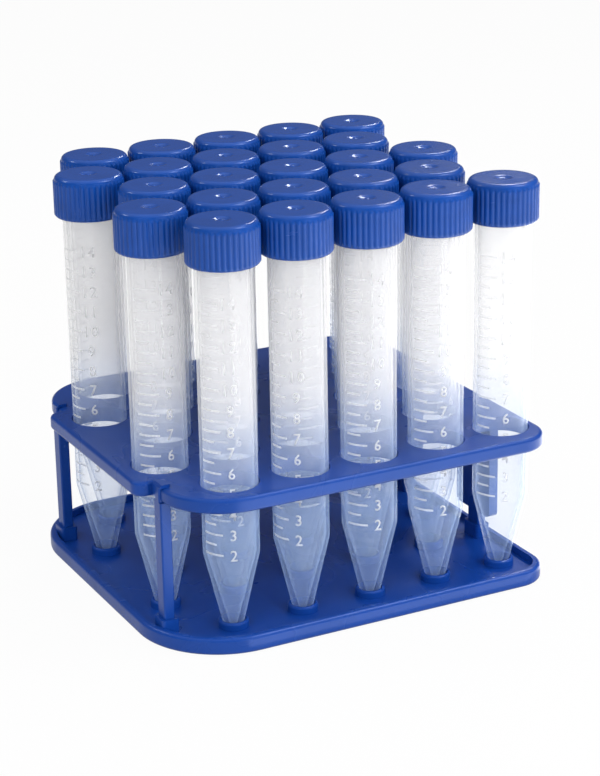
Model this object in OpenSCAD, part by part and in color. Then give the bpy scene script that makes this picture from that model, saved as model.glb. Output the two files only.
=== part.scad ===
// Rack of 25 capped conical tubes: a tray base with tip sockets, a drilled deck held
// over it by two posts and two legs, and tubes in five staggered rows of five.
// Millimetres, +Z up, X along the front edge, Y to the back, Z = 0 on the bench.

/* [Tubes] */
// Outer diameter of a tube's straight body
tube_od = 16.6; // [15:0.1:18]
// Wall of a tube
tube_wall = 1; // [0.8:0.1:1.4]
// Length of a tube from its tip to its mouth
tube_length = 122; // [110:1:130]
// Length of the conical bottom, from the tip to the shoulder
cone_length = 24.5; // [20:0.5:28]
// Diameter of the flat at the tip
tip_flat_d = 3.4; // [2:0.1:4.5]
// Rounding between the tip's flat and the cone
tip_fillet = 1.4; // [0.8:0.1:2]
// Thickness of the floor inside the tip
tip_floor = 1.6; // [1:0.1:2.5]
// Chamfer at the mouth
mouth_chamfer = 0.3; // [0.1:0.1:0.4]

/* [Caps] */
// Height of a cap over all
cap_height = 12.6; // [10:0.1:16]
// Thickness of the cap's top
cap_top = 1.5; // [1:0.1:2]
// Skirt wall between the bore and the foot of the ribs
cap_wall = 1.3; // [0.8:0.1:1.8]
// Radial room for the thread between neck and skirt
thread_room = 0.85; // [0.5:0.05:1.2]
// Number of grip ribs
rib_count = 40; // [24:4:60]
// Height of a grip rib
rib_depth = 0.25; // [0.2:0.05:0.6]
// Rounding of the cap's upper rim
cap_rim_r = 1.4; // [0.6:0.1:2]
// Length of the plug that seals the mouth
plug_depth = 3; // [2:0.1:5]
// Wall of the plug
plug_wall = 0.9; // [0.6:0.1:1.4]
// Radial clearance between plug and bore
plug_clearance = 0.1; // [0.05:0.05:0.2]
// Diameter of the dimple at the middle of the top
dimple_d = 4.4; // [2:0.1:6]
// Depth of that dimple
dimple_depth = 0.45; // [0.2:0.05:0.8]

/* [Layout] */
// Gap between neighbouring caps in a row
column_gap = 1.4; // [0.8:0.1:4]
// Gap between the caps of two rows, front to back
row_gap = 1.6; // [0.8:0.1:4]
// Left-most tube axis to the rack's left edge
margin_left = 13.1; // [12:0.1:20]
// Right-most tube axis to the rack's right edge
margin_right = 10.8; // [10:0.1:20]
// First and last row to the front and rear edges
margin_depth = 14; // [11:0.1:20]

/* [Base] */
// Height of the base's rim above the bench
base_h = 5.2; // [4:0.1:7]
// Width of that rim's top
lip_w = 2.2; // [1.6:0.1:3]
// Height of the tray's floor above the bench
floor_h = 3; // [2.4:0.1:4]
// Radius of the base's two left corners
base_left_r = 27; // [22:0.5:30]
// Radius of the right corners of base and deck
right_r = 10; // [6:0.5:14]
// Rounding of the edges of base and deck
edge_r = 1.2; // [0.4:0.1:1.4]
// Depth of the hollow under the base
hollow_depth = 1; // [0.6:0.1:1.4]
// Width of the rim round that hollow
rim_w = 4; // [3:0.5:8]
// Outer diameter of a tip socket
socket_od = 9.2; // [8.6:0.1:14]
// Height of a tip socket above the tray's floor
socket_h = 2.4; // [1:0.1:4]
// Depth of a tip socket below its top
socket_depth = 3.4; // [2:0.1:3.8]
// Clearance round and under the tip
socket_clearance = 0.2; // [0.15:0.05:0.4]

/* [Deck] */
// Height of the deck's top above the bench
deck_top = 48.2; // [40:0.1:60]
// Thickness of the deck
deck_h = 4.6; // [2.6:0.1:6]
// Radius of the deck's two left corners
deck_left_r = 20; // [14:0.5:24]
// How far the deck's left grip reaches past its corners
grip_reach = 5.1; // [3:0.1:7]
// Length of that grip, front to back
grip_length = 70; // [50:1:72]
// Radius of the grip's corners
grip_r = 4; // [1.5:0.5:5]
// Radial clearance between a tube and its hole
hole_clearance = 0.5; // [0.3:0.1:1]

/* [Posts and legs] */
// Thickness of a post, left to right
post_w = 3.4; // [3:0.1:5]
// Depth of a post, front to back
post_d = 4.6; // [4:0.1:7]
// Distance of each post from the rack's middle line
post_y = 39.5; // [38:0.5:42]
// How far a post stands proud of the deck's edge
post_proud = 0.6; // [0:0.1:1.5]
// Depth of the groove in a post's sides that takes the deck
groove_depth = 0.8; // [0.4:0.1:1.2]
// Height of a post's head above the deck
head_h = 1; // [0.6:0.1:4]
// Thickness of a leg, left to right
leg_w = 3; // [2.4:0.1:4]
// Width of a leg's blade, front to back
blade_d = 19.5; // [14:0.5:24]
// Height of the blade's lower edge above the bench
blade_bottom = 12; // [10:0.5:18]
// Rounding of the blade's lower corners
blade_r = 2; // [1:0.5:4]
// Width of a leg's foot, front to back
foot_d = 6; // [4:0.5:9]
// Width of the tab at a leg's top
tab_d = 7; // [4:0.5:10]
// Leg's middle to the rack's right edge
leg_inset = 4.5; // [4.2:0.1:6]
// Rounding of the upright edges of posts
upright_r = 0.5; // [0.2:0.1:0.8]
// Wall of the collars round the feet
collar_wall = 1; // [0.8:0.1:2.4]
// Height of those collars above the tray's floor
collar_h = 4.5; // [3:0.1:7]
// Material left under the feet
foot_floor = 0.8; // [0.4:0.1:1.2]
// Clearance of posts, legs and tabs in what holds them
press_clearance = 0.05; // [0.03:0.01:0.2]

/* [Hidden] */
$fn = 64;
rack_blue = [0.17, 0.33, 0.68];
cap_blue = [0.15, 0.30, 0.66];
clear_white = [0.88, 0.90, 0.93, 0.45];

rows = ["a", "b", "c", "d", "e"];
columns = [1, 2, 3, 4, 5];
arc_steps = 6;
over = 1;
edge_flat = 0.4;

tube_r = tube_od / 2;
bore_r = tube_r - tube_wall;
cap_bore_r = tube_r + thread_room;
cap_root_r = cap_bore_r + cap_wall;
cap_r = cap_root_r + rib_depth;
rib_top = cap_height - cap_rim_r;
rib_fade = 0.15;
plug_r = bore_r - plug_clearance;

column_pitch = 2 * cap_r + column_gap;
row_pitch = 2 * cap_r + row_gap;
stagger = column_pitch / 4;
half_columns = (len(columns) - 1) / 2;
half_rows = (len(rows) - 1) / 2;
reach_x = half_columns * column_pitch + stagger;
half_w = reach_x + (margin_left + margin_right) / 2;
half_d = half_rows * row_pitch + margin_depth;
lattice_x = (margin_left - margin_right) / 2;

socket_top = floor_h + socket_h;
socket_floor = socket_top - socket_depth;
tip_z = socket_floor + socket_clearance;
mouth_z = tip_z + tube_length;
cap_z = mouth_z + cap_top - cap_height;

deck_bottom = deck_top - deck_h;
deck_left = -half_w + grip_reach;
hole_r = tube_r + hole_clearance;
foot_z = hollow_depth + foot_floor;
collar_top = floor_h + collar_h;
post_x = deck_left - post_proud + post_w / 2;
leg_x = half_w - leg_inset;
leg_y = row_pitch;

// Half angle of the cone that leaves the tip's rounding and meets the shoulder
tip_centre = [tip_flat_d / 2, tip_fillet];
to_shoulder = [tube_r, cone_length] - tip_centre;
cone_angle = atan2(to_shoulder.x, to_shoulder.y) - asin(tip_fillet / norm(to_shoulder));

function cone_r(h) = tube_r - (cone_length - h) * tan(cone_angle);
function arc(centre, r, from, to) =
    [for (i = [0:arc_steps]) let (a = from + (to - from) * i / arc_steps)
        centre + r * [cos(a), sin(a)]];
function tube_x(row, column) =
    lattice_x + (column - half_columns) * column_pitch + (row % 2 == 0 ? stagger : -stagger);
function tube_y(row) = (row - half_rows) * row_pitch;

RACK = ["base_plate", "deck_plate", "post_front", "post_rear", "leg_front", "leg_rear"];

// Half section of a slab's edge, rounded above and below as far as its height allows
module edge_section(reach, h) {
    r = min(edge_r, (h - edge_flat) / 2);
    polygon(concat(
        [[0, 0]],
        arc([reach - r, r], r, -90, 0),
        arc([reach - r, h - r], r, 0, 90),
        [[0, h]]
    ));
}

// One straight run of a slab's edge, facing along the given angle
module edge_run(middle, facing, length, reach, h) {
    translate(middle)
        rotate([0, 0, facing])
            translate([0, length / 2, 0])
                rotate([90, 0, 0])
                    linear_extrude(length)
                        edge_section(reach, h);
}

// A quarter turn of a slab's edge round a corner's centre
module edge_corner(centre, from, r, h) {
    translate(centre)
        rotate([0, 0, from])
            rotate_extrude(angle = 90)
                edge_section(r, h);
}

// A slab with its own corner radius on the left and on the right
module slab(left, right, half, h, left_r, right_r) {
    inner = [left + left_r, right - right_r];
    middle = (inner[0] + inner[1]) / 2;
    span = inner[1] - inner[0];
    for (side = [-1, 1]) {
        edge_corner([inner[0], side * (half - left_r), 0], side < 0 ? 180 : 90, left_r, h);
        edge_corner([inner[1], side * (half - right_r), 0], side < 0 ? 270 : 0, right_r, h);
        edge_run([middle, side * (half - right_r), 0], side * 90, span, right_r, h);
    }
    edge_run([inner[0], 0, 0], 180, 2 * (half - left_r), left_r, h);
    edge_run([inner[1], 0, 0], 0, 2 * (half - right_r), right_r, h);
    translate([inner[0], right_r - half, 0])
        cube([span, 2 * (half - right_r), h]);
}

// A flat outline with round corners
module round_square(size, r) {
    square([size.x - 2 * r, size.y], center = true);
    square([size.x, size.y - 2 * r], center = true);
    for (x = [-1, 1], y = [-1, 1])
        translate([x * (size.x / 2 - r), y * (size.y / 2 - r)])
            circle(r);
}

// The base's outline, drawn in by a margin
module base_outline(margin) {
    left_r = base_left_r - margin;
    right = right_r - margin;
    w = half_w - margin;
    d = half_d - margin;
    translate([left_r - w, -d])
        square([2 * w - left_r - right, 2 * d]);
    translate([-w, left_r - d])
        square([2 * left_r, 2 * (d - left_r)]);
    translate([w - 2 * right, right - d])
        square([2 * right, 2 * (d - right)]);
    for (side = [-1, 1]) {
        translate([left_r - w, side * (d - left_r)])
            circle(left_r);
        translate([w - right, side * (d - right)])
            circle(right);
    }
}

module upright(size, r, from, to) {
    translate([0, 0, from])
        linear_extrude(to - from)
            round_square(size, r);
}

module at_tubes() {
    for (r = [0:len(rows) - 1], c = [0:len(columns) - 1])
        translate([tube_x(r, c), tube_y(r), 0])
            children();
}

// Raised seat round a tube's tip, with a rounded lip
module socket() {
    lip = socket_h / 3;
    rotate_extrude()
        polygon(concat(
            [[0, floor_h / 2], [socket_od / 2, floor_h / 2]],
            arc([socket_od / 2 - lip, socket_top - lip], lip, 0, 90),
            [[0, socket_top]]
        ));
}

module socket_bore() {
    translate([0, 0, socket_floor])
        cylinder(
            h = socket_depth,
            r1 = cone_r(socket_clearance) + socket_clearance,
            r2 = cone_r(socket_depth) + socket_clearance
        );
}

// Collar on the base round the foot of a post or leg, and the pocket inside it
module collar(size) {
    grown = size + 2 * collar_wall * [1, 1];
    upright(grown, collar_wall, floor_h / 2, collar_top);
}

module pocket(size) {
    upright(size + 2 * press_clearance * [1, 1], upright_r, foot_z, collar_top + over);
}

module at_posts() {
    for (side = [-1, 1])
        translate([post_x, side * post_y, 0])
            children();
}

module at_legs() {
    for (side = [-1, 1])
        translate([leg_x, side * leg_y, 0])
            children();
}

module base_plate() {
    post = [post_w, post_d];
    foot = [leg_w, foot_d];
    color(rack_blue)
        difference() {
            union() {
                difference() {
                    slab(-half_w, half_w, half_d, base_h, base_left_r, right_r);
                    translate([0, 0, floor_h])
                        linear_extrude(base_h)
                            base_outline(lip_w);
                }
                at_tubes() socket();
                at_posts() collar(post);
                at_legs() collar(foot);
            }
            at_tubes() socket_bore();
            at_posts() pocket(post);
            at_legs() pocket(foot);
            translate([0, 0, -over])
                linear_extrude(hollow_depth + over)
                    base_outline(rim_w);
        }
}

module deck_plate() {
    notch = [post_w, post_d - 2 * groove_depth + 2 * press_clearance];
    notch_floor = post_x + post_w / 2 + press_clearance;
    color(rack_blue)
        difference() {
            translate([0, 0, deck_bottom]) {
                slab(deck_left, half_w, half_d, deck_h, deck_left_r, right_r);
                slab(-half_w, deck_left + deck_left_r, grip_length / 2, deck_h, grip_r, grip_r);
            }
            at_tubes()
                translate([0, 0, deck_bottom - over])
                    cylinder(h = deck_h + 2 * over, r = hole_r);
            for (side = [-1, 1])
                translate([notch_floor - 2 * post_w, side * post_y - notch.y / 2, deck_bottom - over])
                    cube([2 * post_w, notch.y, deck_h + 2 * over]);
            at_legs()
                upright(
                    [leg_w, tab_d] + 2 * press_clearance * [1, 1],
                    upright_r, deck_bottom - over, deck_top + over
                );
        }
}

// Bar with a groove round the deck's edge and a bevelled head above it
module post(side) {
    bar = [post_w, post_d];
    neck = [post_w, post_d - 2 * groove_depth];
    color(rack_blue)
        translate([post_x, side * post_y, 0])
            difference() {
                union() {
                    upright(bar, upright_r, foot_z, deck_bottom);
                    upright(neck, upright_r, deck_bottom - over, deck_top + over);
                    upright(bar, upright_r, deck_top, deck_top + head_h);
                }
                translate([-post_w / 2, 0, deck_top + head_h])
                    rotate([0, 45, 0])
                        cube([head_h, 2 * post_d, head_h], center = true);
            }
}

// Wide blade under the deck on a narrow foot, with a tab through the deck
module leg(side) {
    blade_top = deck_bottom;
    color(rack_blue)
        translate([leg_x, side * leg_y, 0]) {
            translate([-leg_w / 2, 0, 0])
                rotate([90, 0, 90])
                    linear_extrude(leg_w) {
                        translate([-blade_d / 2, blade_bottom + blade_r])
                            square([blade_d, blade_top - blade_bottom - blade_r]);
                        translate([blade_r - blade_d / 2, blade_bottom])
                            square([blade_d - 2 * blade_r, 2 * blade_r]);
                        for (y = [-1, 1])
                            translate([y * (blade_d / 2 - blade_r), blade_bottom + blade_r])
                                circle(blade_r);
                    }
            upright([leg_w, foot_d], upright_r, foot_z, blade_bottom + blade_r);
            upright([leg_w, tab_d], upright_r, blade_top - over, deck_top);
        }
}

// Thin-walled tube with a blunt conical tip, revolved from its half section
module tube(row, column) {
    inner_cut = tube_wall / cos(cone_angle);
    inner_shoulder = cone_length + (inner_cut - tube_wall) / tan(cone_angle);
    color(clear_white)
        translate([tube_x(row, column), tube_y(row), tip_z])
            rotate_extrude()
                polygon(concat(
                    [[0, 0]],
                    arc(tip_centre, tip_fillet, -90, -cone_angle),
                    [
                        [tube_r, cone_length],
                        [tube_r, tube_length - mouth_chamfer],
                        [tube_r - mouth_chamfer, tube_length],
                        [bore_r, tube_length],
                        [bore_r, inner_shoulder],
                        [cone_r(tip_floor) - inner_cut, tip_floor],
                        [0, tip_floor]
                    ]
                ));
}

// Outline of the skirt: straight-sided grip ribs round a circle
module rib_ring() {
    pitch = 360 / rib_count;
    foot = pitch * 0.32;
    crest = pitch * 0.16;
    polygon([
        for (i = [0:rib_count - 1], p = [
            [cap_root_r, -foot], [cap_r, -crest], [cap_r, crest], [cap_root_r, foot]
        ]) p[0] * [cos(i * pitch + p[1]), sin(i * pitch + p[1])]
    ]);
}

// Ribbed skirt, rounded top with a dimple, and a plug that seals the mouth
module cap(row, column) {
    ceiling = cap_height - cap_top;
    shoulder_r = cap_root_r - rib_fade;
    dimple_r = (dimple_d * dimple_d / 4 + dimple_depth * dimple_depth) / (2 * dimple_depth);
    color(cap_blue)
        translate([tube_x(row, column), tube_y(row), cap_z])
            difference() {
                union() {
                    linear_extrude(rib_top)
                        rib_ring();
                    rotate_extrude()
                        polygon(concat(
                            [[0, rib_top / 2], [shoulder_r, rib_top / 2]],
                            arc([shoulder_r - cap_rim_r, rib_top], cap_rim_r, 0, 90),
                            [[0, cap_height]]
                        ));
                }
                rotate_extrude()
                    polygon([
                        [0, -over], [cap_bore_r, -over], [cap_bore_r, ceiling],
                        [plug_r, ceiling], [plug_r, ceiling - plug_depth],
                        [plug_r - plug_wall, ceiling - plug_depth],
                        [plug_r - plug_wall, ceiling], [0, ceiling]
                    ]);
                translate([0, 0, cap_height - dimple_depth + dimple_r])
                    sphere(dimple_r);
            }
}

base_plate();
deck_plate();
post(-1);  // post_front
post(1);  // post_rear
leg(-1);  // leg_front
leg(1);  // leg_rear
for (r = [0:len(rows) - 1], c = [0:len(columns) - 1]) {
    tube(r, c);
    cap(r, c);
}
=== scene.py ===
"""Dresses the rack of conical tubes: a moulded blue rack, clear tubes with a white scale, ribbed caps."""

import math

import bpy
from bpy.props import FloatProperty, FloatVectorProperty, IntProperty, PointerProperty
from mathutils import Matrix, Vector


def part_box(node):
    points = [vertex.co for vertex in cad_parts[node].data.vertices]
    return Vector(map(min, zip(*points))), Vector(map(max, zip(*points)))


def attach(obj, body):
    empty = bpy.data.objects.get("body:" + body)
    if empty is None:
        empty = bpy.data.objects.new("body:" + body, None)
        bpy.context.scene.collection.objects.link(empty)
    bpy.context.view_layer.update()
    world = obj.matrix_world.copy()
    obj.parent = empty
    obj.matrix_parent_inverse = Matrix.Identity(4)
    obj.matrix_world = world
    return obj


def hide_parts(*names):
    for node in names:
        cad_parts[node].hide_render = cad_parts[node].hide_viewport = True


bl_info = {
    "name": "Capped tube rack",
    "version": (1, 0, 0),
    "blender": (4, 5, 0),
    "location": "View3D > Sidebar > Tube rack",
    "description": "Clear graduated tubes, ribbed caps and a moulded rack on one fixed frame",
    "category": "Add Mesh",
}

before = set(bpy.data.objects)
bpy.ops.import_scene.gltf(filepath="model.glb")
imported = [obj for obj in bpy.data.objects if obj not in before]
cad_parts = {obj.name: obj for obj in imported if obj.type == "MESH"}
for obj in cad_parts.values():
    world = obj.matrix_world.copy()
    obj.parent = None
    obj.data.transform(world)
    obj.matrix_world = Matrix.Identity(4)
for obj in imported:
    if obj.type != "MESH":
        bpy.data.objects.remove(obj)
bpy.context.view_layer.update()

MM = 0.001
ROWS = "abcde"
COLUMNS = "12345"
PLACES = [row + column for row in ROWS for column in COLUMNS]
RACK_NODES = ("base_plate", "deck_plate", "post_front", "post_rear", "leg_front", "leg_rear")

TUBE_LOW, TUBE_HIGH = (Vector(corner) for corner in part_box("tube_a1"))
CAP_LOW, CAP_HIGH = (Vector(corner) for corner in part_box("cap_a1"))
TUBE_RADIUS = (TUBE_HIGH.x - TUBE_LOW.x) / 2
TUBE_LENGTH = TUBE_HIGH.z - TUBE_LOW.z
CAP_RADIUS = (CAP_HIGH.x - CAP_LOW.x) / 2
CAP_HEIGHT = CAP_HIGH.z - CAP_LOW.z

# Width and height of a broad numeral in the built-in font, at size 1
NUMERAL_WIDTH = 0.44
NUMERAL_HEIGHT = 0.7

# Vertices closer than this are merged
MERGE = 0.002 * MM

# Steps of a full turn on a tube and on a thread, and of one rib on a cap
TUBE_STEPS = 96
THREAD_STEPS = 48
RIB_STEPS = 6

# White of the floor as shiny faces mirror it, and share of white in all that is seen of the floor
MIRRORED_WHITE = 0.5
FLOOR_WHITE = 0.95

# Turn of the scale in degrees from the front, as the photograph shows it; e1 is turned away behind d1
SCALE_TURNS = {"a1": -20, "a2": -32, "a3": -11, "a4": -14, "a5": -21, "b1": 0, "d1": -32, "e1": -100}


class RackSettings(bpy.types.PropertyGroup):
    """Finish of the moulded rack."""

    colour: FloatVectorProperty(
        name="Colour",
        description="Blue of the rack",
        subtype="COLOR",
        size=4,
        min=0.0,
        max=1.0,
        default=(0.005, 0.044, 0.26, 1.0),
    )
    roughness: FloatProperty(
        name="Roughness",
        description="Roughness of the moulded faces",
        subtype="FACTOR",
        min=0.0,
        max=1.0,
        default=0.28,
    )
    gloss: FloatVectorProperty(
        name="Gloss",
        description="Tint of the light that the moulded faces mirror",
        subtype="COLOR",
        size=4,
        min=0.0,
        max=1.0,
        default=(0.62, 0.76, 1.0, 1.0),
    )


class TubeSettings(bpy.types.PropertyGroup):
    """Sizes and finish of the clear conical tubes."""

    radius: FloatProperty(
        name="Radius",
        description="Outer radius of the straight wall",
        unit="LENGTH",
        default=TUBE_RADIUS,
    )
    length: FloatProperty(
        name="Length",
        description="Length from the tip to the mouth",
        unit="LENGTH",
        default=TUBE_LENGTH,
    )
    wall: FloatProperty(
        name="Wall",
        description="Thickness of the straight wall",
        unit="LENGTH",
        default=1.0 * MM,
    )
    cone_length: FloatProperty(
        name="Cone length",
        description="Height of the shoulder above the tip",
        unit="LENGTH",
        default=24.5 * MM,
    )
    tip_radius: FloatProperty(
        name="Tip radius",
        description="Radius of the cone where it meets the tip's rounding",
        unit="LENGTH",
        default=2.9 * MM,
    )
    thread_height: FloatProperty(
        name="Thread height",
        description="Height of the thread on the neck",
        unit="LENGTH",
        default=0.42 * MM,
    )
    thread_pitch: FloatProperty(
        name="Thread pitch",
        description="Rise of the thread in one turn",
        unit="LENGTH",
        default=3.2 * MM,
    )
    thread_turns: IntProperty(
        name="Thread turns",
        description="Full turns of the thread on the neck",
        min=1,
        default=2,
    )
    colour: FloatVectorProperty(
        name="Colour",
        description="Tint of the clear plastic",
        subtype="COLOR",
        size=4,
        min=0.0,
        max=1.0,
        default=(0.88, 0.88, 0.89, 1.0),
    )
    # Painted light: blue painted into the wall near the tip, standing in for light bounced from the blue
    # rack
    low_colour: FloatVectorProperty(
        name="Low colour",
        description="Blue painted into the wall near the tip, standing in for light bounced from the blue rack",
        subtype="COLOR",
        size=4,
        min=0.0,
        max=1.0,
        default=(0.50, 0.68, 1.0, 1.0),
    )
    veil: FloatProperty(
        name="Veil",
        description="Share of light that one face of the milky wall scatters, seen square on",
        subtype="FACTOR",
        min=0.0,
        max=1.0,
        default=0.2,
    )
    # Painted shade: the thinner veil near the tip stands in for the dim light under the deck
    low_veil: FloatProperty(
        name="Low veil",
        description="The same share near the tip",
        subtype="FACTOR",
        min=0.0,
        max=1.0,
        default=0.075,
    )
    edge_veil: FloatProperty(
        name="Edge veil",
        description="The same share where the wall is seen along its surface",
        subtype="FACTOR",
        min=0.0,
        max=1.0,
        default=0.75,
    )


class ScaleSettings(bpy.types.PropertyGroup):
    """Sizes of the white scale that is printed on a tube."""

    first: IntProperty(
        name="First mark",
        description="Lowest number of the scale",
        default=2,
    )
    last: IntProperty(
        name="Last mark",
        description="Highest number of the scale",
        default=14,
    )
    first_height: FloatProperty(
        name="First height",
        description="Height of the lowest line above the tip",
        unit="LENGTH",
        default=26.3 * MM,
    )
    spacing: FloatProperty(
        name="Spacing",
        description="Height between two numbered lines",
        unit="LENGTH",
        default=6.25 * MM,
    )
    line: FloatProperty(
        name="Line width",
        description="Width of a printed line",
        unit="LENGTH",
        default=0.6 * MM,
    )
    ink: FloatProperty(
        name="Ink thickness",
        description="How far the print stands on the wall",
        unit="LENGTH",
        default=0.05 * MM,
    )
    digit_height: FloatProperty(
        name="Digit height",
        description="Height of the numerals",
        unit="LENGTH",
        default=3.4 * MM,
    )
    digit_width: FloatProperty(
        name="Digit width",
        description="Width of a broad numeral",
        unit="LENGTH",
        default=2.0 * MM,
    )
    digit_step: FloatProperty(
        name="Digit step",
        description="Angle between the two numerals of a number",
        subtype="ANGLE",
        default=math.radians(18.0),
    )
    digit_weight: FloatProperty(
        name="Digit weight",
        description="How much bolder than the font the numerals are, at size 1",
        default=0.012,
    )
    lines_start: FloatProperty(
        name="Lines start",
        description="Angle from the numerals to the far end of the lines",
        subtype="ANGLE",
        default=math.radians(-66.0),
    )
    long_arc: FloatProperty(
        name="Long line",
        description="Arc of a line that has a number",
        subtype="ANGLE",
        default=math.radians(45.0),
    )
    short_arc: FloatProperty(
        name="Short line",
        description="Arc of a line between two numbers",
        subtype="ANGLE",
        default=math.radians(31.0),
    )
    colour: FloatVectorProperty(
        name="Colour",
        description="White of the printing ink",
        subtype="COLOR",
        size=4,
        min=0.0,
        max=1.0,
        default=(0.95, 0.955, 0.97, 1.0),
    )


class CapSettings(bpy.types.PropertyGroup):
    """Sizes and finish of the ribbed screw caps."""

    radius: FloatProperty(
        name="Radius",
        description="Radius over the crests of the ribs",
        unit="LENGTH",
        default=CAP_RADIUS,
    )
    height: FloatProperty(
        name="Height",
        description="Height of the cap",
        unit="LENGTH",
        default=CAP_HEIGHT,
    )
    ribs: IntProperty(
        name="Ribs",
        description="Number of grip ribs round the skirt",
        min=8,
        default=40,
    )
    rib_height: FloatProperty(
        name="Rib height",
        description="Height of a rib above the skirt",
        unit="LENGTH",
        default=0.36 * MM,
    )
    rim_radius: FloatProperty(
        name="Rim radius",
        description="Rounding between the skirt and the top",
        unit="LENGTH",
        default=1.4 * MM,
    )
    bore_radius: FloatProperty(
        name="Bore radius",
        description="Radius of the threaded bore",
        unit="LENGTH",
        default=9.15 * MM,
    )
    plug_radius: FloatProperty(
        name="Plug radius",
        description="Outer radius of the seal that enters the tube",
        unit="LENGTH",
        default=7.2 * MM,
    )
    plug_depth: FloatProperty(
        name="Plug depth",
        description="How far the seal reaches below the top plate",
        unit="LENGTH",
        default=3.0 * MM,
    )
    top: FloatProperty(
        name="Top thickness",
        description="Thickness of the top plate",
        unit="LENGTH",
        default=1.5 * MM,
    )
    dimple_radius: FloatProperty(
        name="Dimple radius",
        description="Radius of the dimple round the moulding gate",
        unit="LENGTH",
        default=2.2 * MM,
    )
    dimple_depth: FloatProperty(
        name="Dimple depth",
        description="Depth of the dimple round the moulding gate",
        unit="LENGTH",
        default=0.45 * MM,
    )
    colour: FloatVectorProperty(
        name="Colour",
        description="Blue of the caps",
        subtype="COLOR",
        size=4,
        min=0.0,
        max=1.0,
        default=(0.005, 0.052, 0.28, 1.0),
    )
    roughness: FloatProperty(
        name="Roughness",
        description="Roughness of the caps",
        subtype="FACTOR",
        min=0.0,
        max=1.0,
        default=0.24,
    )
    gloss: FloatVectorProperty(
        name="Gloss",
        description="Tint of the light that the caps mirror",
        subtype="COLOR",
        size=4,
        min=0.0,
        max=1.0,
        default=(0.7, 0.82, 1.0, 1.0),
    )


class StudioSettings(bpy.types.PropertyGroup):
    """Floor, light and camera."""

    azimuth: FloatProperty(
        name="Azimuth",
        description="Turn of the camera from the front",
        subtype="ANGLE",
        default=math.radians(-26.553),
    )
    elevation: FloatProperty(
        name="Elevation",
        description="Height angle of the camera",
        subtype="ANGLE",
        default=math.radians(18.51),
    )
    roll: FloatProperty(
        name="Roll",
        description="Tilt of the camera about its own axis",
        subtype="ANGLE",
        default=math.radians(-1.221),
    )
    distance: FloatProperty(
        name="Distance",
        description="Distance of the camera from its target",
        unit="LENGTH",
        default=675.8 * MM,
    )
    target: FloatVectorProperty(
        name="Target",
        description="Point that the camera looks at",
        subtype="TRANSLATION",
        unit="LENGTH",
        size=3,
        default=(1.15 * MM, 0.0, 63.5 * MM),
    )
    lens: FloatProperty(
        name="Lens",
        description="Focal length in millimetres on a 36 mm sensor",
        default=101.37,
    )
    shift: FloatVectorProperty(
        name="Shift",
        description="Shift of the lens, as a share of the long side",
        size=2,
        default=(0.0260, -0.0311),
    )
    floor: FloatVectorProperty(
        name="Floor",
        description="Colour of the floor",
        subtype="COLOR",
        size=4,
        min=0.0,
        max=1.0,
        default=(0.6, 0.6, 0.6, 1.0),
    )
    key: FloatProperty(
        name="Key light",
        description="Power of the broad light at the right",
        unit="POWER",
        default=8.5,
    )
    fill: FloatProperty(
        name="Fill lights",
        description="Power of the soft light in front; the one at the left has less",
        unit="POWER",
        default=6.2,
    )
    floor_light: FloatProperty(
        name="Floor light",
        description="Power of the light on the floor at the right",
        unit="POWER",
        default=1.5,
    )
    glint: FloatProperty(
        name="Glints",
        description="Power of each small light that draws the rims",
        unit="POWER",
        default=1.0,
    )
    card: FloatProperty(
        name="White card",
        description="Power of each card on the floor that only shiny faces show",
        unit="POWER",
        default=1.4,
    )
    rim: FloatProperty(
        name="Rim light",
        description="Power of the light above that only shiny edges show",
        unit="POWER",
        default=3.0,
    )
    ambient: FloatProperty(
        name="Ambient",
        description="Strength of the light from straight above",
        default=1.15,
    )
    horizon: FloatProperty(
        name="Horizon",
        description="Strength of the light from the sides",
        default=0.15,
    )


def deselect_all():
    """Leave edit mode and deselect every object."""
    if bpy.context.mode != "OBJECT":
        bpy.ops.object.mode_set(mode="OBJECT")
    bpy.ops.object.select_all(action="DESELECT")


def start_section(name, point):
    """Begin a piece as one vertex at a point, in edit mode."""
    deselect_all()
    bpy.ops.mesh.primitive_plane_add(size=MM, location=(0.0, 0.0, 0.0))
    piece = bpy.context.object
    piece.name = name
    piece.data.name = name
    bpy.ops.object.mode_set(mode="EDIT")
    bpy.ops.mesh.select_mode(type="VERT")
    bpy.ops.mesh.select_all(action="SELECT")
    bpy.ops.mesh.merge(type="CENTER")
    bpy.ops.transform.translate(value=point)
    return piece


def draw_section(points):
    """Extrude the selected vertex from point to point; the first point is where it stands."""
    for here, there in zip(points, points[1:]):
        step = Vector(there) - Vector(here)
        bpy.ops.mesh.extrude_region_move(TRANSFORM_OT_translate={"value": step})


def select_vertices(piece, test):
    """Select the vertices of a piece that pass a test of their place, in edit mode."""
    bpy.ops.object.mode_set(mode="EDIT")
    bpy.ops.mesh.select_mode(type="VERT")
    bpy.ops.mesh.select_all(action="DESELECT")
    bpy.ops.object.mode_set(mode="OBJECT")
    for vertex in piece.data.vertices:
        vertex.select = test(vertex.co)
    bpy.ops.object.mode_set(mode="EDIT")


def turn_section(name, section, steps):
    """Spin a half section of (radius, height) points about the upright axis into one closed piece."""
    points = [(radius, 0.0, height) for radius, height in section]
    piece = start_section(name, points[0])
    draw_section(points)
    bpy.ops.mesh.select_all(action="SELECT")
    bpy.ops.mesh.spin(steps=steps, angle=math.tau, center=(0.0, 0.0, 0.0), axis=(0.0, 0.0, 1.0))
    bpy.ops.mesh.select_all(action="SELECT")
    bpy.ops.mesh.remove_doubles(threshold=MERGE)
    bpy.ops.mesh.normals_make_consistent(inside=False)
    bpy.ops.object.mode_set(mode="OBJECT")
    return piece


def arc_points(centre, radius, start, end, count):
    """Points of an arc in a half section, both ends included."""
    points = []
    for index in range(count + 1):
        angle = start + (end - start) * index / count
        points.append((centre[0] + radius * math.cos(angle), centre[1] + radius * math.sin(angle)))
    return points


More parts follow.
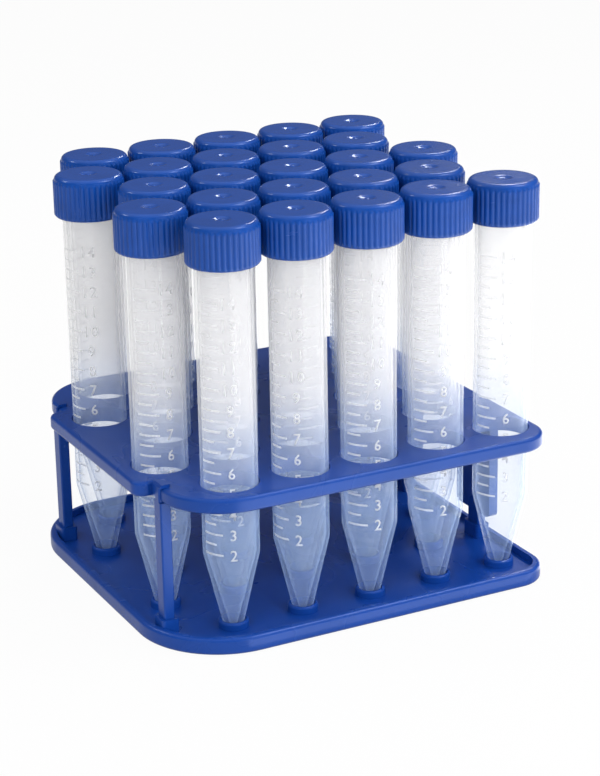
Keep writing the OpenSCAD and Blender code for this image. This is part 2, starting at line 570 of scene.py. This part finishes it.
def wind_thread(name, radius, height, width, pitch, turns, low):
    """Wind a ridge with tapered ends; a negative height gives an inside thread."""
    sunk = radius - math.copysign(0.08 * MM, height)
    crest = radius + height
    section = [
        (sunk, 0.0, low - width / 2),
        (crest, 0.0, low - width / 5),
        (crest, 0.0, low + width / 5),
        (sunk, 0.0, low + width / 2),
        (sunk, 0.0, low - width / 2),
    ]
    piece = start_section(name, section[0])
    draw_section(section)
    bpy.ops.mesh.select_all(action="SELECT")
    bpy.ops.mesh.remove_doubles(threshold=MERGE)
    bpy.ops.object.mode_set(mode="OBJECT")
    winding = piece.modifiers.new("winding", "SCREW")
    winding.axis = "Z"
    winding.angle = math.tau
    winding.screw_offset = pitch
    winding.iterations = turns
    winding.steps = THREAD_STEPS
    winding.render_steps = THREAD_STEPS
    bpy.ops.object.modifier_apply(modifier="winding")

    def is_end(place):
        at_start = abs(math.atan2(place.y, place.x)) < math.pi / THREAD_STEPS
        ends = (low, low + turns * pitch)
        return at_start and min(abs(place.z - end) for end in ends) < width

    select_vertices(piece, is_end)
    bpy.ops.transform.resize(value=(sunk / crest, sunk / crest, 1.0), center_override=(0.0, 0.0, 0.0))
    bpy.ops.mesh.select_all(action="SELECT")
    bpy.ops.mesh.fill_holes(sides=8)
    bpy.ops.mesh.normals_make_consistent(inside=False)
    bpy.ops.object.mode_set(mode="OBJECT")
    return piece


def join(pieces):
    """Join pieces into the first of them."""
    deselect_all()
    for piece in pieces:
        piece.select_set(True)
    bpy.context.view_layer.objects.active = pieces[0]
    bpy.ops.object.join()
    return pieces[0]


def smooth(piece, degrees):
    """Shade a piece smooth up to an angle between faces."""
    deselect_all()
    piece.select_set(True)
    bpy.context.view_layer.objects.active = piece
    bpy.ops.object.shade_smooth_by_angle(angle=math.radians(degrees))


def copy_to(pattern, name, place, turn=0.0):
    """Copy a finished pattern piece, with its own mesh, to a place and a turn about the upright axis."""
    piece = pattern.copy()
    piece.data = pattern.data.copy()
    piece.name = name
    piece.data.name = name
    bpy.context.scene.collection.objects.link(piece)
    piece.data.transform(Matrix.Translation(place) @ Matrix.Rotation(turn, 4, "Z"))
    return piece


def remove(piece):
    """Delete a pattern piece once its copies are made."""
    bpy.data.objects.remove(piece, do_unlink=True)


def foot_of(node):
    """Middle of a node's box, at its lowest height."""
    low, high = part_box(node)
    return Vector(((low[0] + high[0]) / 2, (low[1] + high[1]) / 2, low[2]))


def new_material(name):
    """A material with its Principled shader, and the shader."""
    material = bpy.data.materials.new(name)
    material.use_nodes = True
    return material, material.node_tree.nodes["Principled BSDF"]


def remap(tree, value, given=(0.0, 1.0), wanted=(0.0, 1.0)):
    """Node that maps a value from a given range to a wanted one."""
    node = tree.nodes.new("ShaderNodeMapRange")
    for name, number in zip(("From Min", "From Max", "To Min", "To Max"), given + wanted):
        node.inputs[name].default_value = number
    tree.links.new(value, node.inputs["Value"])
    return node


def combine(tree, operation, first, second, clamp=False):
    """Output of a calculation with an output and a number, or with two outputs."""
    node = tree.nodes.new("ShaderNodeMath")
    node.operation = operation
    node.use_clamp = clamp
    tree.links.new(first, node.inputs[0])
    if isinstance(second, float):
        node.inputs[1].default_value = second
    else:
        tree.links.new(second, node.inputs[1])
    return node.outputs["Value"]


def dress(piece, material):
    """Give a piece one material."""
    piece.data.materials.clear()
    piece.data.materials.append(material)


def moulding_group():
    """Node group for moulded plastic: slow flow marks in the colour, uneven gloss and a fine grain."""
    name = "moulded surface"
    if name in bpy.data.node_groups:
        return bpy.data.node_groups[name]
    group = bpy.data.node_groups.new(name, "ShaderNodeTree")
    face = group.interface
    face.new_socket("Colour", in_out="INPUT", socket_type="NodeSocketColor")
    face.new_socket("Flow colour", in_out="INPUT", socket_type="NodeSocketColor")
    face.new_socket("Roughness", in_out="INPUT", socket_type="NodeSocketFloat")
    face.new_socket("Flow scale", in_out="INPUT", socket_type="NodeSocketFloat")
    face.new_socket("Grain scale", in_out="INPUT", socket_type="NodeSocketFloat")
    face.new_socket("Colour", in_out="OUTPUT", socket_type="NodeSocketColor")
    face.new_socket("Roughness", in_out="OUTPUT", socket_type="NodeSocketFloat")
    face.new_socket("Height", in_out="OUTPUT", socket_type="NodeSocketFloat")
    nodes = group.nodes
    link = group.links.new
    given = nodes.new("NodeGroupInput")
    result = nodes.new("NodeGroupOutput")
    place = nodes.new("ShaderNodeTexCoord")

    flow = nodes.new("ShaderNodeTexNoise")
    flow.inputs["Detail"].default_value = 3.0
    flow.inputs["Distortion"].default_value = 1.2
    link(place.outputs["Object"], flow.inputs["Vector"])
    link(given.outputs["Flow scale"], flow.inputs["Scale"])
    flow_mask = remap(group, flow.outputs["Fac"], given=(0.38, 0.68))
    tone = nodes.new("ShaderNodeMix")
    tone.data_type = "RGBA"
    link(flow_mask.outputs["Result"], tone.inputs["Factor"])
    link(given.outputs["Colour"], tone.inputs["A"])
    link(given.outputs["Flow colour"], tone.inputs["B"])
    link(tone.outputs["Result"], result.inputs["Colour"])

    grain = nodes.new("ShaderNodeTexNoise")
    grain.inputs["Detail"].default_value = 2.0
    link(place.outputs["Object"], grain.inputs["Vector"])
    link(given.outputs["Grain scale"], grain.inputs["Scale"])
    link(grain.outputs["Fac"], result.inputs["Height"])

    uneven = nodes.new("ShaderNodeMath")
    uneven.operation = "MULTIPLY_ADD"
    uneven.inputs[1].default_value = 0.16
    uneven.inputs[2].default_value = -0.08
    link(flow.outputs["Fac"], uneven.inputs[0])
    gloss = combine(group, "ADD", given.outputs["Roughness"], uneven.outputs["Value"], clamp=True)
    link(gloss, result.inputs["Roughness"])
    return group


def moulded_plastic(name, colour, roughness, gloss, flow_scale, grain_scale, bump):
    """Opaque moulded plastic in one colour."""
    material, shader = new_material(name)
    nodes = material.node_tree.nodes
    link = material.node_tree.links.new
    surface = nodes.new("ShaderNodeGroup")
    surface.node_tree = moulding_group()
    surface.inputs["Colour"].default_value = colour
    surface.inputs["Flow colour"].default_value = [part * 0.86 for part in colour[:3]] + [1.0]
    surface.inputs["Roughness"].default_value = roughness
    surface.inputs["Flow scale"].default_value = flow_scale
    surface.inputs["Grain scale"].default_value = grain_scale
    link(surface.outputs["Colour"], shader.inputs["Base Color"])
    link(surface.outputs["Roughness"], shader.inputs["Roughness"])
    relief = nodes.new("ShaderNodeBump")
    relief.inputs["Strength"].default_value = bump
    relief.inputs["Distance"].default_value = 0.05 * MM
    link(surface.outputs["Height"], relief.inputs["Height"])
    link(relief.outputs["Normal"], shader.inputs["Normal"])
    shader.inputs["IOR"].default_value = 1.49
    shader.inputs["Specular IOR Level"].default_value = 0.42
    shader.inputs["Specular Tint"].default_value = gloss
    return material


def milky_plastic(settings):
    """Thin milky plastic: drawn streaks along the tube and a veil that thickens towards the edges; near the
    tip, painted blue bounce light from the rack and a thinner veil as painted shade under the deck.
    """
    material, shader = new_material("milky tube plastic")
    tree = material.node_tree
    nodes = tree.nodes
    link = tree.links.new
    shader.inputs["IOR"].default_value = 1.49
    shader.inputs["Specular IOR Level"].default_value = 0.9
    place = nodes.new("ShaderNodeTexCoord")
    parts = nodes.new("ShaderNodeSeparateXYZ")
    link(place.outputs["Object"], parts.inputs["Vector"])
    rise = remap(tree, parts.outputs["Z"], given=(44.0 * MM, 70.0 * MM))
    # Painted light: blue mixed into the wall towards the tip stands in for light bounced from the blue rack
    tint = nodes.new("ShaderNodeMix")
    tint.data_type = "RGBA"
    tint.inputs["A"].default_value = settings.low_colour
    tint.inputs["B"].default_value = settings.colour
    link(rise.outputs["Result"], tint.inputs["Factor"])
    link(tint.outputs["Result"], shader.inputs["Base Color"])
    # Painted shade: the veil thins towards the tip, standing in for the dim light under the deck
    least = remap(tree, rise.outputs["Result"], wanted=(settings.low_veil, settings.veil))
    stretch = nodes.new("ShaderNodeMapping")
    stretch.inputs["Scale"].default_value = (1.0, 1.0, 0.06)
    link(place.outputs["Object"], stretch.inputs["Vector"])
    streaks = nodes.new("ShaderNodeTexNoise")
    streaks.inputs["Scale"].default_value = 600.0
    streaks.inputs["Detail"].default_value = 2.0
    link(stretch.outputs["Vector"], streaks.inputs["Vector"])
    haze = remap(tree, streaks.outputs["Fac"], wanted=(0.1, 0.3))
    link(haze.outputs["Result"], shader.inputs["Roughness"])
    slant = nodes.new("ShaderNodeLayerWeight")
    steep = combine(tree, "POWER", slant.outputs["Facing"], 3.0)
    veil = remap(tree, steep, wanted=(0.0, settings.edge_veil))
    link(least.outputs["Result"], veil.inputs["To Min"])
    patchy = remap(tree, streaks.outputs["Fac"], wanted=(0.94, 1.06))
    cover = combine(tree, "MULTIPLY", veil.outputs["Result"], patchy.outputs["Result"], clamp=True)
    link(cover, shader.inputs["Alpha"])
    relief = nodes.new("ShaderNodeBump")
    relief.inputs["Strength"].default_value = 0.08
    relief.inputs["Distance"].default_value = 0.05 * MM
    link(streaks.outputs["Fac"], relief.inputs["Height"])
    link(relief.outputs["Normal"], shader.inputs["Normal"])
    return material


def printing_ink(settings):
    """White ink that is a little thin in places and fades towards the top, as painted light that stands in
    for bright light washing the white ink out against the wall there.
    """
    material, shader = new_material("white printing ink")
    tree = material.node_tree
    nodes = tree.nodes
    link = tree.links.new
    place = nodes.new("ShaderNodeTexCoord")
    thin = nodes.new("ShaderNodeTexNoise")
    thin.inputs["Scale"].default_value = 900.0
    link(place.outputs["Object"], thin.inputs["Vector"])
    tone = nodes.new("ShaderNodeMix")
    tone.data_type = "RGBA"
    tone.inputs["A"].default_value = settings.colour
    tone.inputs["B"].default_value = [part * 0.9 for part in settings.colour[:3]] + [1.0]
    link(thin.outputs["Fac"], tone.inputs["Factor"])
    link(tone.outputs["Result"], shader.inputs["Base Color"])
    cover = remap(tree, thin.outputs["Fac"], wanted=(0.35, 0.75))
    parts = nodes.new("ShaderNodeSeparateXYZ")
    link(place.outputs["Object"], parts.inputs["Vector"])
    # Painted light: the ink fades towards the top, standing in for the bright light that washes white ink
    # out against the wall
    washout_fade = remap(tree, parts.outputs["Z"], given=(62.0 * MM, 95.0 * MM), wanted=(1.0, 0.45))
    washout_cover = combine(tree, "MULTIPLY", cover.outputs["Result"], washout_fade.outputs["Result"])
    link(washout_cover, shader.inputs["Alpha"])
    shader.inputs["Roughness"].default_value = 0.55
    shader.inputs["Subsurface Weight"].default_value = 1.0
    shader.inputs["Subsurface Radius"].default_value = (1.0, 1.0, 1.0)
    shader.inputs["Subsurface Scale"].default_value = 0.3 * MM
    return material


class TUBERACK_OT_rack(bpy.types.Operator):
    """Finish the six pieces of the rack in moulded blue plastic"""

    bl_idname = "tube_rack.rack"
    bl_label = "Finish the rack"

    def execute(self, context):
        settings = context.scene.rack_settings
        plastic = moulded_plastic(
            "blue rack plastic",
            settings.colour,
            settings.roughness,
            settings.gloss,
            flow_scale=22.0,
            grain_scale=2600.0,
            bump=0.25,
        )
        for node in RACK_NODES:
            dress(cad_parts[node], plastic)
        return {"FINISHED"}


def tube_section(settings):
    """Closed half section of a tube, from the tip's middle up the outside and down the bore."""
    radius = settings.radius
    bore = radius - settings.wall
    shoulder = settings.cone_length
    tip = settings.tip_radius
    rounding = 1.4 * MM
    slope = math.atan2(radius - tip, shoulder - rounding)
    blend = 0.9 * MM
    outside = [(0.0, 0.0), (tip - rounding, 0.0)]
    outside += arc_points((tip - rounding, rounding), rounding, -math.pi / 2, -slope, 5)[1:]
    outside.append((radius - blend * 1.6 * math.sin(slope), shoulder - blend * 1.6 * math.cos(slope)))
    outside.append((radius - blend * 0.5 * math.sin(slope), shoulder - blend * 0.5 * math.cos(slope)))
    outside.append((radius, shoulder + blend * 0.5))
    outside.append((radius, shoulder + blend * 1.6))
    outside.append((radius, settings.length - 1.5 * MM))
    lip = settings.wall / 2
    outside += arc_points((radius - lip, settings.length - lip), lip, 0.0, math.pi, 6)
    inner_shoulder = shoulder + 0.15 * MM
    inside = [(bore, settings.length - 1.5 * MM)]
    inside.append((bore, inner_shoulder + blend * 1.6))
    inside.append((bore, inner_shoulder + blend * 0.5))
    inside.append((bore - blend * 0.5 * math.sin(slope), inner_shoulder - blend * 0.5 * math.cos(slope)))
    inside.append((bore - blend * 1.6 * math.sin(slope), inner_shoulder - blend * 1.6 * math.cos(slope)))
    well = 1.3 * MM
    well_height = 2.5 * MM
    inside += arc_points((0.0, well_height), well, -slope, -math.pi / 2, 5)
    return outside + inside


class TUBERACK_OT_tubes(bpy.types.Operator):
    """Model one clear conical tube with a threaded neck and copy it to its 25 places"""

    bl_idname = "tube_rack.tubes"
    bl_label = "Add the clear tubes"

    def execute(self, context):
        settings = context.scene.tube_settings
        pattern = turn_section("tube_pattern", tube_section(settings), TUBE_STEPS)
        neck_low = settings.length - 2.6 * MM - settings.thread_turns * settings.thread_pitch
        ridge = wind_thread(
            "neck_ridge",
            settings.radius,
            settings.thread_height,
            width=1.3 * MM,
            pitch=settings.thread_pitch,
            turns=settings.thread_turns,
            low=neck_low,
        )
        pattern = join([pattern, ridge])
        smooth(pattern, 35.0)
        dress(pattern, milky_plastic(settings))
        for place in PLACES:
            node = "tube_" + place
            piece = copy_to(pattern, "clear_" + node, foot_of(node))
            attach(piece, node)
            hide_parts(node)
        remove(pattern)
        return {"FINISHED"}


def scale_lines(settings, radius):
    """Printed lines of the scale: a long one for each number and a short one half-way."""
    start = settings.lines_start
    step = settings.spacing / 2
    count = 2 * (settings.last - settings.first) + 1
    low = settings.first_height - settings.line / 2
    foot = Vector((radius * math.sin(start), -radius * math.cos(start), low))
    piece = start_section("scale_pattern", foot)
    bpy.ops.mesh.extrude_region_move(TRANSFORM_OT_translate={"value": (0.0, 0.0, settings.line)})
    bpy.ops.mesh.select_all(action="SELECT")
    for _ in range(count - 1):
        bpy.ops.mesh.duplicate_move(TRANSFORM_OT_translate={"value": (0.0, 0.0, step)})

    def is_mark(odd):
        def test(place):
            at_start = math.hypot(place.x - foot.x, place.y - foot.y) < 0.01 * MM
            return at_start and round((place.z - settings.first_height) / step) % 2 == odd
        return test

    for odd, arc in ((0, settings.long_arc), (1, settings.short_arc)):
        select_vertices(piece, is_mark(odd))
        bpy.ops.mesh.spin(steps=6, angle=-arc, center=(0.0, 0.0, 0.0), axis=(0.0, 0.0, 1.0))
    bpy.ops.mesh.select_all(action="SELECT")
    bpy.ops.mesh.remove_doubles(threshold=MERGE)
    bpy.ops.object.mode_set(mode="OBJECT")
    return piece


def numeral(character, settings, radius, angle, height):
    """One printed numeral, flat on the wall at an angle and a height."""
    deselect_all()
    bpy.ops.object.text_add(location=(0.0, 0.0, 0.0))
    piece = bpy.context.object
    piece.data.body = character
    piece.data.align_x = "CENTER"
    piece.data.align_y = "CENTER"
    piece.data.resolution_u = 2
    piece.data.offset = settings.digit_weight
    bpy.ops.object.convert(target="MESH")
    piece = bpy.context.object
    corners = [Vector(vertex.co) for vertex in piece.data.vertices]
    low = Vector((min(c.x for c in corners), min(c.y for c in corners), 0.0))
    high = Vector((max(c.x for c in corners), max(c.y for c in corners), 0.0))
    grow = settings.digit_height / (high.y - low.y)
    narrow = (settings.digit_width / settings.digit_height) / (NUMERAL_WIDTH / NUMERAL_HEIGHT)
    middle = Matrix.Translation(-(low + high) / 2)
    size = Matrix.Diagonal((grow * narrow, grow, 1.0, 1.0))
    stand = Matrix.Rotation(math.pi / 2, 4, "X")
    out = Matrix.Translation((0.0, -radius, height))
    turn = Matrix.Rotation(angle, 4, "Z")
    piece.data.transform(turn @ out @ stand @ size @ middle)
    return piece


class TUBERACK_OT_scales(bpy.types.Operator):
    """Print one white scale with its numerals and copy it to the 25 tubes, each turned its own way"""

    bl_idname = "tube_rack.scales"
    bl_label = "Print the scales"

    def execute(self, context):
        settings = context.scene.scale_settings
        wall = context.scene.tube_settings.radius + 0.01 * MM
        pieces = [scale_lines(settings, wall)]
        for number in range(settings.first, settings.last + 1):
            height = settings.first_height + (number - settings.first) * settings.spacing
            characters = str(number)
            for index, character in enumerate(characters):
                angle = (index - (len(characters) - 1) / 2) * settings.digit_step
                pieces.append(numeral(character, settings, wall, angle, height))
        pattern = join(pieces)
        bpy.ops.object.mode_set(mode="EDIT")
        bpy.ops.mesh.select_all(action="SELECT")
        bpy.ops.mesh.remove_doubles(threshold=MERGE)
        bpy.ops.object.mode_set(mode="OBJECT")
        ink = pattern.modifiers.new("ink", "SOLIDIFY")
        ink.thickness = settings.ink
        ink.offset = 1.0
        bpy.ops.object.modifier_apply(modifier="ink")
        dress(pattern, printing_ink(settings))
        for index, place in enumerate(PLACES):
            node = "tube_" + place
            turn = SCALE_TURNS.get(place, (index * 47) % 110 - 70)
            piece = copy_to(pattern, "scale_" + place, foot_of(node), math.radians(turn))
            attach(piece, node)
        remove(pattern)
        return {"FINISHED"}


def cap_section(settings):
    """Closed half section of a cap without its ribs, from the bore's mouth round the outside."""
    skirt = settings.radius - settings.rib_height
    height = settings.height
    bore = settings.bore_radius
    rim = settings.rim_radius
    ceiling = height - settings.top
    dimple = settings.dimple_radius
    sunk = height - settings.dimple_depth
    section = [(bore, 0.35 * MM), (bore + 0.2 * MM, 0.0), (skirt - 0.25 * MM, 0.0), (skirt, 0.25 * MM)]
    section += [(skirt, 0.7 * MM), (skirt, 1.2 * MM)]
    section += [(skirt, height - rim - 0.9 * MM), (skirt, height - rim - 0.4 * MM)]
    section += arc_points((skirt - rim, height - rim), rim, 0.0, math.pi / 2, 7)
    section += [(skirt - rim - 0.8 * MM, height), (dimple + 0.9 * MM, height), (dimple + 0.35 * MM, height)]
    section += [(dimple, height - 0.1 * MM), (dimple * 0.72, sunk + 0.06 * MM), (dimple * 0.5, sunk)]
    section += [(0.62 * MM, sunk), (0.5 * MM, sunk + 0.12 * MM)]
    section += [(0.3 * MM, sunk + 0.2 * MM), (0.0, sunk + 0.2 * MM)]
    plug = settings.plug_radius
    plug_low = ceiling - settings.plug_depth
    section += [(0.0, ceiling), (plug - 0.9 * MM, ceiling), (plug - 0.9 * MM, plug_low + 0.3 * MM)]
    section += [(plug - 0.6 * MM, plug_low), (plug - 0.35 * MM, plug_low), (plug, plug_low + 0.5 * MM)]
    section += [(plug, ceiling), (bore, ceiling), (bore, 0.35 * MM)]
    return section


class TUBERACK_OT_caps(bpy.types.Operator):
    """Model one ribbed screw cap with its thread and seal and copy it to its 25 places"""

    bl_idname = "tube_rack.caps"
    bl_label = "Add the ribbed caps"

    def execute(self, context):
        settings = context.scene.cap_settings
        steps = RIB_STEPS * settings.ribs
        pattern = turn_section("cap_pattern", cap_section(settings), steps)
        skirt = settings.radius - settings.rib_height
        low = 0.5 * MM
        high = settings.height - settings.rim_radius - 0.2 * MM

        def on_rib(columns):
            def test(place):
                outside = math.hypot(place.x, place.y) > skirt - 0.05 * MM
                column = round(math.atan2(place.y, place.x) / math.tau * steps) % RIB_STEPS
                return outside and low < place.z < high and column in columns
            return test

        for columns, share in (((2, 3), 1.0), ((1, 4), 0.72)):
            select_vertices(pattern, on_rib(columns))
            grow = (skirt + settings.rib_height * share) / skirt
            bpy.ops.transform.resize(value=(grow, grow, 1.0), center_override=(0.0, 0.0, 0.0))
        bpy.ops.object.mode_set(mode="OBJECT")
        ridge = wind_thread(
            "cap_ridge",
            settings.bore_radius,
            height=-0.34 * MM,
            width=1.2 * MM,
            pitch=3.2 * MM,
            turns=2,
            low=1.9 * MM,
        )
        pattern = join([pattern, ridge])
        smooth(pattern, 40.0)
        plastic = moulded_plastic(
            "blue cap plastic",
            settings.colour,
            settings.roughness,
            settings.gloss,
            flow_scale=60.0,
            grain_scale=3200.0,
            bump=0.18,
        )
        dress(pattern, plastic)
        for place in PLACES:
            node = "cap_" + place
            piece = copy_to(pattern, "ribbed_" + node, foot_of(node))
            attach(piece, node)
            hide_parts(node)
        remove(pattern)
        return {"FINISHED"}


def white_rays(tree):
    """Output that is 1 for camera and transmission rays, and a half for glossy ones."""
    rays = tree.nodes.new("ShaderNodeLightPath")
    mirrored = combine(tree, "MULTIPLY", rays.outputs["Is Glossy Ray"], MIRRORED_WHITE)
    seen = combine(tree, "MAXIMUM", rays.outputs["Is Camera Ray"], mirrored)
    return combine(tree, "MAXIMUM", seen, rays.outputs["Is Transmission Ray"])


def soft_room(settings):
    """Soft surroundings, brighter above than at the sides, and white to the camera."""
    world = bpy.data.worlds.new("soft room")
    world.use_nodes = True
    bpy.context.scene.world = world
    tree = world.node_tree
    nodes = tree.nodes
    link = tree.links.new
    room = nodes["Background"]
    room.inputs["Color"].default_value = (1.0, 1.0, 1.0, 1.0)
    place = nodes.new("ShaderNodeTexCoord")
    parts = nodes.new("ShaderNodeSeparateXYZ")
    link(place.outputs["Generated"], parts.inputs["Vector"])
    rise = remap(tree, parts.outputs["Z"], given=(0.5, 0.9), wanted=(settings.horizon, settings.ambient))
    rays = nodes.new("ShaderNodeLightPath")
    seen = combine(tree, "MAXIMUM", rise.outputs["Result"], rays.outputs["Is Camera Ray"])
    link(seen, room.inputs["Strength"])


def floor_card(settings):
    """Pale floor that looks almost white and keeps a faint shadow."""
    material, shader = new_material("pale floor")
    tree = material.node_tree
    shader.inputs["Base Color"].default_value = settings.floor
    shader.inputs["Roughness"].default_value = 0.9
    glow = tree.nodes.new("ShaderNodeEmission")
    glow.inputs["Color"].default_value = (1.0, 1.0, 1.0, 1.0)
    share = combine(tree, "MULTIPLY", white_rays(tree), FLOOR_WHITE)
    choose = tree.nodes.new("ShaderNodeMixShader")
    tree.links.new(share, choose.inputs["Fac"])
    tree.links.new(shader.outputs["BSDF"], choose.inputs[1])
    tree.links.new(glow.outputs["Emission"], choose.inputs[2])
    tree.links.new(choose.outputs["Shader"], tree.nodes["Material Output"].inputs["Surface"])
    return material


def area_light(name, place, target, size, power):
    """A square light that faces a point."""
    data = bpy.data.lights.new(name, "AREA")
    data.shape = "SQUARE"
    data.size = size
    data.energy = power
    lamp = bpy.data.objects.new(name, data)
    bpy.context.scene.collection.objects.link(lamp)
    lamp.location = place
    lamp.rotation_euler = (Vector(target) - Vector(place)).to_track_quat("-Z", "Y").to_euler()
    return lamp


def studio_camera(settings):
    """Camera at the photograph's viewing angle."""
    turn = settings.azimuth
    rise = settings.elevation
    back = Vector((math.sin(turn) * math.cos(rise), -math.cos(turn) * math.cos(rise), math.sin(rise)))
    level = Vector((math.cos(turn), math.sin(turn), 0.0))
    upright = back.cross(level)
    right = level * math.cos(settings.roll) + upright * math.sin(settings.roll)
    up = upright * math.cos(settings.roll) - level * math.sin(settings.roll)
    data = bpy.data.cameras.new("photo camera")
    data.lens = settings.lens
    data.sensor_width = 36.0
    data.sensor_fit = "AUTO"
    data.shift_x = settings.shift[0]
    data.shift_y = settings.shift[1]
    data.clip_start = 0.01
    camera = bpy.data.objects.new("photo camera", data)
    bpy.context.scene.collection.objects.link(camera)
    pose = Matrix((right, up, back)).transposed().to_4x4()
    pose.translation = Vector(settings.target) + back * settings.distance
    camera.matrix_world = pose
    bpy.context.scene.camera = camera


class TUBERACK_OT_studio(bpy.types.Operator):
    """Add the pale floor, the soft lights and the camera"""

    bl_idname = "tube_rack.studio"
    bl_label = "Set the studio"

    def execute(self, context):
        settings = context.scene.studio_settings
        deselect_all()
        bpy.ops.mesh.primitive_plane_add(size=16.0, location=(0.0, 0.0, -0.05 * MM))
        floor = context.object
        floor.name = "floor"
        dress(floor, floor_card(settings))
        middle = (0.0, 0.0, 0.06)
        spot = (0.42, -0.22, 0.0)
        soft_lights = (
            area_light("key softbox", (1.1, -0.6, 0.65), middle, 0.8, settings.key),
            area_light("front softbox", (0.2, -1.0, 0.4), middle, 0.5, settings.fill),
            area_light("left softbox", (-0.75, -0.65, 0.45), middle, 0.5, settings.fill * 0.75),
            area_light("floor softbox", (0.45, -0.2, 0.5), spot, 0.3, settings.floor_light),
        )
        for lamp in soft_lights:
            lamp.visible_glossy = False
        area_light("left glint", (-0.55, 0.35, 0.6), middle, 0.1, settings.glint)
        area_light("right glint", (0.45, 0.5, 0.55), middle, 0.1, settings.glint)
        sheen_lights = (
            area_light("front card", (0.19, -0.292, 0.001), (0.19, -0.292, 1.0), 0.46, settings.card),
            area_light("right card", (0.295, 0.17, 0.001), (0.295, 0.17, 1.0), 0.46, settings.card),
            area_light("rim softbox", (0.45, -0.35, 0.9), middle, 0.35, settings.rim),
        )
        for lamp in sheen_lights:
            lamp.visible_camera = False
            lamp.visible_diffuse = False
            lamp.visible_transmission = False
        soft_room(settings)
        studio_camera(settings)
        scene = context.scene
        scene.view_settings.view_transform = "Standard"
        scene.cycles.transparent_max_bounces = 64
        return {"FINISHED"}


class VIEW3D_PT_tube_rack(bpy.types.Panel):
    """Sidebar panel with the sizes, the finishes and the steps of the tube rack"""

    bl_label = "Tube rack"
    bl_idname = "VIEW3D_PT_tube_rack"
    bl_space_type = "VIEW_3D"
    bl_region_type = "UI"
    bl_category = "Tube rack"

    def draw(self, context):
        for settings_name, operator in STEPS:
            box = self.layout.box()
            settings = getattr(context.scene, settings_name)
            for name in settings.__annotations__:
                box.prop(settings, name)
            box.operator(operator)


STEPS = (
    ("rack_settings", "tube_rack.rack"),
    ("tube_settings", "tube_rack.tubes"),
    ("scale_settings", "tube_rack.scales"),
    ("cap_settings", "tube_rack.caps"),
    ("studio_settings", "tube_rack.studio"),
)

SETTINGS = {
    "rack_settings": RackSettings,
    "tube_settings": TubeSettings,
    "scale_settings": ScaleSettings,
    "cap_settings": CapSettings,
    "studio_settings": StudioSettings,
}

CLASSES = (
    RackSettings,
    TubeSettings,
    ScaleSettings,
    CapSettings,
    StudioSettings,
    TUBERACK_OT_rack,
    TUBERACK_OT_tubes,
    TUBERACK_OT_scales,
    TUBERACK_OT_caps,
    TUBERACK_OT_studio,
    VIEW3D_PT_tube_rack,
)


def register():
    for item in CLASSES:
        bpy.utils.register_class(item)
    for name, group in SETTINGS.items():
        setattr(bpy.types.Scene, name, PointerProperty(type=group))


def unregister():
    for name in SETTINGS:
        delattr(bpy.types.Scene, name)
    for item in reversed(CLASSES):
        bpy.utils.unregister_class(item)


def main():
    register()
    bpy.ops.tube_rack.rack()
    bpy.ops.tube_rack.tubes()
    bpy.ops.tube_rack.scales()
    bpy.ops.tube_rack.caps()
    bpy.ops.tube_rack.studio()


if __name__ == "__main__":
    main()
